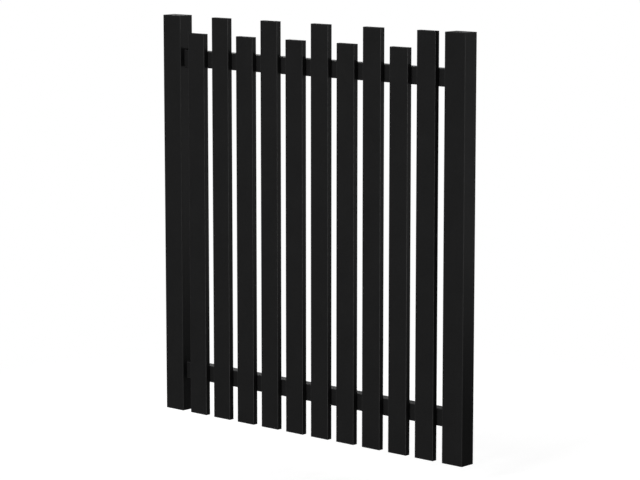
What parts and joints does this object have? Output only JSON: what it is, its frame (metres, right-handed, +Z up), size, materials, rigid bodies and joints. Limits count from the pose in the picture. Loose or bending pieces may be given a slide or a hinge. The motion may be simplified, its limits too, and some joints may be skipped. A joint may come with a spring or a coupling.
{
  "type": "pedestrian gate",
  "caption": "Pedestrian gate leaf: an open frame of stiles and rails with a front row of flat vertical pickets, short and tall by turns, all with capped ends.",
  "frame": {"origin": "on the outer side face of the left stile, seen from the picket side, at half the stile's depth and half the leaf's height", "axes": "+X along the leaf to the right stile, +Y from the picket side to the back, +Z up"},
  "size_m": [0.965, 0.042, 1],
  "materials": {
    "powder_coat": "satin",
    "cap_plastic": "satin"
  },
  "bodies": {
    "root": {"left_stile": "powder_coat", "right_stile": "powder_coat", "upper_rail": "powder_coat", "lower_rail": "powder_coat", "picket_01": "powder_coat", "picket_02": "powder_coat", "picket_03": "powder_coat", "picket_04": "powder_coat", "picket_05": "powder_coat", "picket_06": "powder_coat", "picket_07": "powder_coat", "picket_08": "powder_coat", "picket_09": "powder_coat", "picket_10": "powder_coat", "left_stile_top_cap": "cap_plastic", "left_stile_bottom_cap": "cap_plastic", "right_stile_top_cap": "cap_plastic", "right_stile_bottom_cap": "cap_plastic", "picket_01_top_cap": "cap_plastic", "picket_01_bottom_cap": "cap_plastic", "picket_02_top_cap": "cap_plastic", "picket_02_bottom_cap": "cap_plastic", "picket_03_top_cap": "cap_plastic", "picket_03_bottom_cap": "cap_plastic", "picket_04_top_cap": "cap_plastic", "picket_04_bottom_cap": "cap_plastic", "picket_05_top_cap": "cap_plastic", "picket_05_bottom_cap": "cap_plastic", "picket_06_top_cap": "cap_plastic", "picket_06_bottom_cap": "cap_plastic", "picket_07_top_cap": "cap_plastic", "picket_07_bottom_cap": "cap_plastic", "picket_08_top_cap": "cap_plastic", "picket_08_bottom_cap": "cap_plastic", "picket_09_top_cap": "cap_plastic", "picket_09_bottom_cap": "cap_plastic", "picket_10_top_cap": "cap_plastic", "picket_10_bottom_cap": "cap_plastic"}
  },
  "joints": []
}
